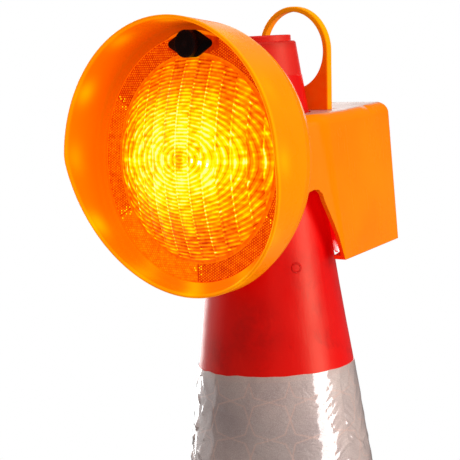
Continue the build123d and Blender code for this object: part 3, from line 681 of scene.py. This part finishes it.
# ---------------------------------------------------------------- reflective sleeve
def build_sleeve():
    """Wrinkled film round the cone, with eight-sided cells and a plain border at each end."""
    columns, rows = 560, 380
    cells_round, cell_height = 13, 27.4
    first_cell = math.radians(-42.7)
    cell_offset = 18.5             # from the top edge to the first row boundary
    border_width = 4.0
    arc_radius = 70.0              # turns angles into lengths for the noise
    pulls = [  # bearing and width in degrees, strength of the creasing
        (-8.0, 15.0, 1.2), (20.0, 18.0, 1.1), (-128.0, 18.0, 1.5), (100.0, 30.0, 0.6),
        (175.0, 22.0, 0.7)]
    turns = np.linspace(0, TAU, columns, endpoint=False)
    heights = np.linspace(SLEEVE_BOTTOM, SLEEVE_TOP, rows)
    angle, z = np.meshgrid(turns, heights)
    arc = angle * arc_radius
    from_top, from_bottom = SLEEVE_TOP - z, z - SLEEVE_BOTTOM

    def noise(seed, scale, stretch=(1.0, 1.0)):
        return wave_noise(arc, z, seed, scale, stretch)

    # Cell pattern: cell_edge is 0 at a cell's middle and 1 on its seam.
    across = (angle - first_cell) / TAU * cells_round + 0.03 * noise(seed=41, scale=9.0)
    down = (SLEEVE_TOP - cell_offset - z) / cell_height + 0.03 * noise(seed=42, scale=9.0)
    across = np.abs((across % 1.0) - 0.5) * 2
    down = np.abs((down % 1.0) - 0.5) * 2
    cell_edge = np.maximum(across + 0.32 * down, down + 0.33 * across)
    seam = np.clip(1 - np.abs(cell_edge - 1.0) / 0.05, 0, 1)
    for inset in (from_top, from_bottom):
        seam = np.maximum(seam, np.clip(1 - np.abs(inset - border_width) / 0.6, 0, 1) * 0.6)
    border = (from_top < border_width) | (from_bottom < border_width)
    top_rim = np.clip(1 - from_top, 0, 1)
    seam = np.where(border, np.maximum(0.2, top_rim), seam)
    pillow = np.clip(1 - cell_edge, 0, 1) ** 0.5

    # Wrinkles: fine everywhere, with sharp slanting creases where the film is pulled.
    wrinkle = (0.16 * noise(seed=11, scale=3.0, stretch=(0.6, 1.0))
               + 0.12 * noise(seed=12, scale=1.7, stretch=(0.55, 1.0)))
    patches = np.clip(noise(seed=13, scale=30.0) * 0.6 + 0.75, 0.25, 1.2)
    crease = 0.0
    for seed, slant in ((51, 0.6), (52, -0.6)):
        crease = crease + 1 - np.abs(wave_noise(arc * 0.8 + z * slant, z * 0.8 - arc * slant, seed,
                                                scale=5.0, stretch=(0.5, 1.2)))
    bearing = np.degrees(angle)
    pulled = np.zeros_like(angle)
    for middle, width, strength in pulls:
        turn = (bearing - middle + 180.0) % 360.0 - 180.0
        pulled = np.maximum(pulled, strength * np.exp(-((turn / width) ** 2)))
    wrinkle = wrinkle * (0.35 + 0.9 * pulled) + 0.75 * pulled * (crease - 1.35)

    # V-shaped folds, 7 mm apart, in a strip centred on bearing -5 degrees.
    strip = (((bearing + 5.0 + 180.0) % 360.0) - 180.0) * math.pi / 180.0 * 65.0
    fold = np.sin(TAU * (z + 0.75 * np.abs(strip) + 1.6 * noise(seed=71, scale=9.0)) / 7.0)
    wrinkle = wrinkle + (0.44 * np.sign(fold) * np.abs(fold) ** 1.6
                         * np.exp(-((strip / 19.0) ** 2)) * (0.7 + 0.5 * noise(seed=72, scale=7.0)))

    # Height of the film above the cone; the wrinkles fade towards both ends.
    fade = np.clip(from_top / 9.0, 0.08, 1) * np.clip(from_bottom / 9.0, 0.08, 1)
    lift = (0.62 + 0.07 * pillow - 0.06 * np.where(border, 0, seam)
            + np.clip(wrinkle * patches * fade, -0.5, 1.0))
    lift = np.maximum(lift, 0.3)
    ragged = 0.35 * wave_noise(turns * arc_radius, 0 * turns, seed=21, scale=3.0)
    ragged_z = z.copy()
    ragged_z[-1] += ragged
    ragged_z[-2] += ragged * 0.7
    ragged_z[0] += 0.25 * ragged[::-1]

    def ring_points(radius):
        return np.stack([radius * np.cos(angle), radius * np.sin(angle), ragged_z], -1)

    outer = ring_points(cone_radius(z) + lift).reshape(-1, 3)
    inner_rows = [rows - 1, (2 * rows) // 3, rows // 3, 0]
    inner = ring_points((cone_radius(heights) + 0.04)[:, None])[inner_rows].reshape(-1, 3)
    faces = grid_faces(columns, rows)
    # Over the top edge, down the inner face and back to the outer bottom row.
    wrap = [rows - 1] + [rows + k for k in range(len(inner_rows))] + [0]
    for upper, lower in zip(wrap[:-1], wrap[1:]):
        for i in range(columns):
            side = (i + 1) % columns
            faces.append((upper * columns + i, upper * columns + side,
                          lower * columns + side, lower * columns + i))
    sleeve = mesh_object("sleeve_film", np.concatenate([outer, inner]) * MM, faces,
                         smooth_angle=50)
    attribute(sleeve, "seam", seam.ravel())
    attribute(sleeve, "tone", np.clip(noise(seed=31, scale=16.0) * 0.5 + 0.3, 0, 1).ravel())
    finish_piece(sleeve, "cone", "sleeve_film", "reflective_sleeve")


# ---------------------------------------------------------------- hood
def hood_rim(sine):
    """Rim depth: level over the top half, slanting back below, with the kink softened."""
    slant, soft = HOOD_RIM - HOOD_RIM_BOTTOM, 0.05
    if abs(sine) < soft:
        return HOOD_RIM - slant * ((soft - sine) ** 2) / (4 * soft)
    return HOOD_RIM + slant * min(sine, 0.0)


def hood_profile(angle, rim):
    """Closed section (radius, depth) at one angle, its two long walls cut into even pieces."""
    notch_width = 0.27
    off_top = (angle - math.pi / 2 + math.pi) % TAU - math.pi
    notch = 2.6 * max(0.0, 1 - off_top ** 2 / notch_width ** 2) ** 0.5
    lip = 90.0 + notch
    corners = [  # radius, depth, rounding
        (hood_radius(HOOD_BACK), HOOD_BACK, 0.5),
        (hood_radius(rim), rim, 1.3),
        (hood_radius(rim) - 2.9, rim, 1.1),
        (97.0, 82.1, 3.0),
        (lip, 82.0, 0.9),
        (lip, 79.6, 0.3),
        (96.3, 79.6, 0.3),
        (96.15, HOOD_BACK, 0.3),
    ]
    points = round_profile(corners, steps=4)

    def between(start, end, pieces):
        start, end = np.array(start), np.array(end)
        return [tuple(start + (end - start) * k / pieces) for k in range(1, pieces)]

    # Each corner has five points, so the outer wall runs from 4 to 5 and the inner from 14 to 15.
    return (points[:5] + between(points[4], points[5], 15) + points[5:15]
            + between(points[14], points[15], 13) + points[15:])


def hood_marks(angle, rim, radius, depth):
    """Shading values of one point: inside, spot, lip, tone."""
    sine = math.sin(angle)
    # inside marks the inner faces, where painted light and shade follow the tone; lip marks the
    # band at the rim, painted lighter and with extra glow.
    inside = 1.0 if radius < hood_radius(depth) - 1.6 else 0.0
    lip = 1.0 if abs(depth - rim) < 1.6 else 0.0
    # Painted light: glow spots every 30 degrees, a little behind the rim and uneven in strength.
    off_spot = math.degrees(angle) % 30.0
    off_spot = min(off_spot, 30.0 - off_spot)
    spot_depth = rim - (9.0 if sine > -0.2 else 5.0)
    painted_glow_spot = math.exp(-((off_spot / 6.0) ** 2)) * math.exp(-(((depth - spot_depth) / 7.5) ** 2))
    painted_glow_spot *= (0.75 + 0.25 * math.sin(7 * angle + 1.3)) * (1.0 if inside else 0.7)
    # Painted light and shade: brighter towards the rim and the bottom, darker at the top.
    forward = max(0.0, min(1.0, (depth - 80.0) / 30.0))
    tone = 0.42 + 0.38 * forward - 0.42 * max(0.0, sine) ** 1.5 + 0.22 * max(0.0, -sine)
    return inside, painted_glow_spot, lip, tone


def build_hood():
    sections = 320
    angles = np.linspace(0, TAU, sections, endpoint=False) + math.pi / 2
    profiles, marks = [], []
    for angle in angles:
        rim = hood_rim(math.sin(angle))
        profile = hood_profile(angle, rim)
        profiles.append(profile)
        marks += [hood_marks(angle, rim, radius, depth) for radius, depth in profile]
    profiles, marks = np.array(profiles), np.array(marks)
    radius, depth = profiles[..., 0], profiles[..., 1]
    points = np.stack([radius * np.cos(angles)[:, None], radius * np.sin(angles)[:, None], depth],
                      -1).reshape(-1, 3)
    faces = grid_faces(profiles.shape[1], sections, close_rows=True, flip=True)
    hood = mesh_object("hood_shell", on_head(points), faces, smooth_angle=38)
    for column, name in enumerate(("inside", "painted_glow_spot", "lip", "tone")):
        attribute(hood, name, marks[:, column])
    finish_piece(hood, "lamp", "hood_amber", "hood")


# ---------------------------------------------------------------- lens
def build_lens():
    """Ringed and fluted dome with its flat band, closed at the back."""
    columns = 640
    band_radii = [75.6, 76.4, 76.7, 83.0, 89.4, 90.0, 91.8, 92.4, LENS_R]
    flute_pitch, ring_pitch = 12.0, 2.55
    band_glow = np.array([0.12, 0.07, 0.08, 0.17, 0.32, 0.12])   # by sector, from +x
    sphere_r = (DOME_R ** 2 + DOME_RISE ** 2) / (2 * DOME_RISE)
    sphere_depth = LENS_FACE + DOME_RISE - sphere_r

    radii = np.concatenate([np.linspace(0.6, DOME_R, 230), band_radii])
    turns = np.linspace(0, TAU, columns, endpoint=False)
    radius, angle = np.meshgrid(radii, turns, indexing="ij")
    x, y = radius * np.cos(angle), radius * np.sin(angle)
    on_dome = radius <= DOME_R + 0.01

    # Upright flutes; the rings bend within each. ring_part runs from 0 to 1 across a ring.
    flute_x = np.round(x / flute_pitch) * flute_pitch
    flute_part = (x - flute_x) / flute_pitch
    bent = np.sqrt((flute_x + 0.42 * (x - flute_x)) ** 2 + y ** 2)
    ring_count = (bent + 0.10 * wave_noise(x, y, seed=63, scale=4.0)) / ring_pitch
    ring_part = ring_count - np.floor(ring_count)
    saw = np.where(ring_part < 0.72, ring_part / 0.72, (1 - ring_part) / 0.28)
    flute = 1 - (2 * flute_part) ** 2
    relief = np.clip((DOME_R - radius) / 4.0, 0, 1) * (0.42 * (saw - 0.5) + 0.55 * (flute - 0.6))
    dome = sphere_depth + np.sqrt(np.maximum(sphere_r ** 2 - radius ** 2, 1.0)) + relief
    depth = np.where(on_dome, dome, LENS_FACE)
    depth = np.where(radius > 92.0, LENS_FACE - (radius - 92.0) * 0.8, depth)

    # Broad glow: bright off-centre core, lighter to +x, darker at the top.
    crest = np.exp(-(((ring_part - 0.62) / 0.15) ** 2))
    trough = sum(np.clip(1 - np.abs(ring_part - at) / 0.12, 0, 1) for at in (0.08, 1.08))
    core = np.sqrt((x + 6) ** 2 * np.where(x > -6, 0.88, 0.92)
                   + y ** 2 * np.where(y > 0, 1.32, 1.56))
    broad = 0.28 + 0.46 / (1 + np.exp((core - 53.0) / 8.0))
    broad = broad + 0.08 * np.clip((x - 30) / 30.0, 0, 1) - 0.05 * np.clip((y - 36) / 30.0, 0, 1)
    # Variation by flute, streaks, blotches, ring crests and troughs.
    streaks = wave_noise(x, y, seed=61, scale=1.6, stretch=(0.6, 2.4))
    blotches = wave_noise(x, y, seed=62, scale=8.0, stretch=(0.7, 1.4))
    glow = (broad + 0.045 * np.sin(flute_x * 2.37 + 1.1) + 0.055 * streaks + 0.035 * blotches
            + crest * (0.16 + 0.12 * broad) * (1 + 0.3 * streaks)
            - trough * (0.165 + 0.04 * (1 - broad)))
    # A bright line near the -x edge of each flute with a dim one beside it.
    bright_line = np.exp(-(((flute_part + 0.44) / 0.06) ** 2))
    dim_line = np.exp(-(((flute_part + 0.33) / 0.07) ** 2))
    inner = np.clip((DOME_R - 3 - radius) / 4.0, 0, 1)
    glow = glow + (bright_line * inner * (0.20 + 0.30 * crest) * (0.7 + 0.6 * broad)
                   * (0.55 + 0.45 * np.sin(flute_x * 0.7 + y * 0.05))) - 0.07 * dim_line * inner
    glow = glow + 0.05 * flute
    # Small random gain for each prism, and bright dots on some crests.
    gains = 509
    rng = np.random.default_rng(4)
    prism = (np.floor(ring_count) * 37 + (flute_x / flute_pitch) * 101
             + np.round(np.arctan2(y, x) * 6) * 13).astype(int) % gains
    glow = glow + rng.uniform(-0.05, 0.07, gains)[prism]
    dotted = rng.uniform(0, 1, gains)[prism] > 0.80
    glow = glow + 0.34 * dotted * crest * (np.abs(flute_part + 0.36) < 0.10) * (radius > 22)
    # A bright horizontal line at both sides, and a dimmer patch in the middle.
    line = np.exp(-(((y + 1.5) / 1.5) ** 2))
    glow = glow + line * (0.22 * np.clip((-x - 34) / 20.0, 0, 1)
                          + 0.26 * np.clip((x - 20) / 20.0, 0, 1) * (0.4 + 0.6 * crest))
    patch = np.exp(-((np.abs(x + 1.0) / 3.6) ** 6) - (np.abs(y) / 8.5) ** 6)
    glow = glow * (1 - 0.30 * patch)
    # Painted light: the flat band glows by sector; its edges and the dome's edge are even.
    sector = np.floor(((np.degrees(angle) + 30.0) % 360.0) / 60.0).astype(int) % 6
    on_band = (radius > 76.5) & (radius < 89.8)
    glow = np.where(on_dome, glow, np.where(on_band, band_glow[sector], 0.33))
    glow = np.where(on_dome & (radius > DOME_R - 1.6), 0.28, glow)
    # Painted reflection: a slanting row of glints just to +x of the middle.
    painted_glint = (on_dome & (np.abs(y - 0.6 + 0.22 * (x - 6)) < 1.3) & (x > 5) & (x < 28)
             & (crest > 0.5))

    def back_ring(ring_r):
        return np.stack([ring_r * np.cos(turns), ring_r * np.sin(turns),
                         np.full(columns, LENS_BACK)], -1)

    front = np.stack([x, y, depth], -1).reshape(-1, 3)
    points = np.concatenate([front, [[0, 0, sphere_depth + sphere_r]], back_ring(LENS_R),
                             back_ring(60), [[0, 0, LENS_BACK]]])
    faces = grid_faces(columns, len(radii), flip=True)
    front_point = len(front)
    faces += [(front_point, i, (i + 1) % columns) for i in range(columns)]
    rim = front_point - columns
    outer_ring = front_point + 1
    inner_ring = outer_ring + columns
    back_point = inner_ring + columns
    for i in range(columns):
        j = (i + 1) % columns
        faces.append((rim + i, outer_ring + i, outer_ring + j, rim + j))
        faces.append((outer_ring + i, inner_ring + i, inner_ring + j, outer_ring + j))
        faces.append((inner_ring + i, back_point, inner_ring + j))
    lens = mesh_object("lens_dome", on_head(points), faces, smooth_angle=60)
    attribute(lens, "glow", np.append(glow.ravel(), 0.42))
    attribute(lens, "painted_glint", painted_glint.ravel())
    finish_piece(lens, "lamp", "lens_amber", "lens")


def build_prisms():
    """Micro-prisms on the flat band: six 60 degree fields of small raised hexagons."""
    pitch = 1.95
    rings = ((0.93, LENS_FACE - 0.02), (0.36, LENS_FACE + 0.42))   # radius, depth: base, top
    # Painted light and shade: each sector glows at its own level, with the prism tops lighter than
    # their bases.
    top_glow = [0.36, 0.30, 0.33, 0.40, 0.42, 0.38]                # by sector, from +x
    base_glow = [0.10, 0.06, 0.08, 0.13, 0.28, 0.08]
    painted_sparkle_glow = 0.84
    half_sector = math.radians(30.0)
    rng = np.random.default_rng(9)
    points, faces, glow = [], [], []
    for sector in range(6):
        middle = math.radians(sector * 60.0)
        turn = middle + (math.pi / 6 if sector % 2 else 0.0)
        cosine, sine = math.cos(turn), math.sin(turn)
        for i in range(-60, 61):
            for j in range(-60, 61):
                across, along = (i + 0.5 * (j % 2)) * pitch, j * pitch * 0.8660254
                x, y = across * cosine - along * sine, across * sine + along * cosine
                radius = math.hypot(x, y)
                if not 76.6 < radius < 89.2:
                    continue
                off_middle = abs((math.atan2(y, x) - middle + math.pi) % TAU - math.pi)
                if off_middle > half_sector - 0.9 / radius:
                    continue
                # Leave room round the knob.
                if y > 60 and abs(x) < 24.5 and abs(y - KNOB_Y) < 10.5 - abs(x) * 0.28:
                    continue
                base = len(points)
                for ring_r, depth in rings:
                    for k in range(6):
                        angle = turn + math.pi / 6 + k * math.pi / 3
                        points.append((x + ring_r * math.cos(angle),
                                       y + ring_r * math.sin(angle), depth))
                top = base + 6
                for k in range(6):
                    side = (k + 1) % 6
                    faces.append((base + k, base + side, top + side, top + k))
                faces.append(tuple(top + k for k in range(6)))
                faces.append(tuple(base + 5 - k for k in range(6)))
                # Painted glints: some prisms beside the sector joints sparkle.
                vary = rng.uniform(-0.05, 0.05)
                painted_sparkle = (off_middle > half_sector - 3.6 / radius and sector in (2, 3, 4, 5)
                         and rng.uniform() < 0.4)
                glow += [base_glow[sector] + 0.3 * vary] * 6
                glow += [painted_sparkle_glow if painted_sparkle else top_glow[sector] + vary] * 6
    prisms = mesh_object("lens_micro_prisms", on_head(points), faces)
    attribute(prisms, "glow", glow)
    attribute(prisms, "painted_glint", [])
    finish_piece(prisms, "lamp", "lens_amber")


build_cone()
build_sleeve()
build_hood()
build_lens()
build_prisms()


# ---------------------------------------------------------------- floor
def floor_material():
    """Pale matt floor that fades into glowing white; reflections see it darker."""
    mat = material("studio_floor")
    length = mat.node("VectorMath", {0: mat.coords()}, operation="LENGTH").outputs["Value"]
    far = mat.remap(length, over=(0.55, 1.25), smooth=True)
    rays = mat.node("LightPath").outputs
    tone = mat.ramp(mat.noise(scale=3, detail=2, rough=0.5), (0.3, grey(0.80)), (0.7, grey(0.86)))
    paint = mat.mix(rays["Is Glossy Ray"], tone, grey(0.1), strength=0.8)
    near_shader = mat.node("BsdfDiffuse", {0: paint})
    # Strength 1.0 to the camera, 0.15 to other rays.
    strength = mat.math("MULTIPLY_ADD", rays["Is Camera Ray"], 0.85, 0.15)
    far_shader = mat.node("Emission", {0: grey(1.0), 1: strength})
    return mat.finish(mat.node("MixShader", {0: far, 1: near_shader.outputs[0],
                                             2: far_shader.outputs[0]}))


bpy.ops.mesh.primitive_circle_add(vertices=96, radius=14.0, fill_type="TRIFAN",
                                  location=(0, 0, -0.0005))
floor = bpy.context.object
floor.name = "studio_floor"
floor.data.materials.append(floor_material())


# ---------------------------------------------------------------- lights
def panel(name, at, aim, power, width, height=None, glossy=True):
    """Area light; square without a height, and unseen in reflections if not glossy."""
    light = bpy.data.lights.new(name, "AREA")
    light.energy = power
    light.shape = "RECTANGLE"
    light.size = width
    light.size_y = height or width
    lamp = bpy.data.objects.new(name, light)
    bpy.context.scene.collection.objects.link(lamp)
    lamp.visible_glossy = glossy
    lamp.location = at
    lamp.rotation_mode = "QUATERNION"
    lamp.rotation_quaternion = (Vector(aim) - Vector(at)).to_track_quat("-Z", "Y")


panel("top_softbox", at=(0.1, 0.1, 2.3), aim=(0, 0, 0.5), power=16, width=1.3, glossy=False)
panel("right_strip", at=(1.56, 0.40, 0.85), aim=(0, 0, 0.5), power=25, width=0.72, height=1.7)
panel("right_front_panel", at=(1.5, -1.5, 0.9), aim=(0, 0, 0.5), power=5, width=0.9, glossy=False)
panel("left_back_panel", at=(-1.75, 0.95, 0.68), aim=(0, 0, 0.6), power=20, width=1.1, height=1.25)
panel("left_panel", at=(-2.0, -0.35, 0.75), aim=(0, 0, 0.5), power=4.5, width=1.6, height=1.4)
panel("back_panel", at=(-0.95, 1.9, 1.0), aim=(0, 0, 0.68), power=4, width=0.9)
panel("front_fill", at=(-0.6, -2.2, 1.5), aim=(0, 0, 0.6), power=3.0, width=1.2, glossy=False)


# ---------------------------------------------------------------- world
def build_world():
    """White to the camera, dim to everything else and dimmest in reflections."""
    world = bpy.data.worlds.new("studio")
    bpy.context.scene.world = world
    sky = Nodes(world, "OutputWorld")
    rays = sky.node("LightPath").outputs
    # Strength 0.08 in reflections, 0.38 otherwise.
    strength = sky.math("MULTIPLY_ADD", rays["Is Glossy Ray"], -0.30, 0.38)
    lighting = sky.node("Background", {0: grey(1.0), 1: strength})
    backdrop = sky.node("Background", {0: grey(1.0), 1: 1.0})
    sky.finish(sky.node("MixShader", {0: rays["Is Camera Ray"], 1: lighting.outputs[0],
                                      2: backdrop.outputs[0]}))


build_world()


# ---------------------------------------------------------------- camera
def build_camera():
    """Long lens from the front right, a little above the cone's top."""
    right = Vector((0.76635877, 0.64024513, -0.0527296))
    up = Vector((-0.03835946, 0.12754014, 0.99109135))
    forward = Vector((-0.64126655, 0.75750887, -0.12230096))
    place = Vector((0.80734, -1.00047, CONE_H * MM + 0.01293))
    orbit = Matrix.Rotation(math.radians(0.9), 3, "Z")   # turns the camera about the cone's axis
    data = bpy.data.cameras.new("camera")
    data.sensor_width = 36.0
    data.lens = 133.04348
    data.clip_start = 0.05
    data.clip_end = 60
    camera = bpy.data.objects.new("camera", data)
    bpy.context.scene.collection.objects.link(camera)
    camera.rotation_mode = "QUATERNION"
    turned = orbit @ Matrix((right, up, -forward)).transposed()
    camera.rotation_quaternion = turned.to_quaternion()
    camera.location = orbit @ place
    bpy.context.scene.camera = camera


build_camera()
bpy.context.scene.view_settings.view_transform = "Standard"
bpy.context.scene.view_settings.look = "None"

bpy.context.view_layer.update()
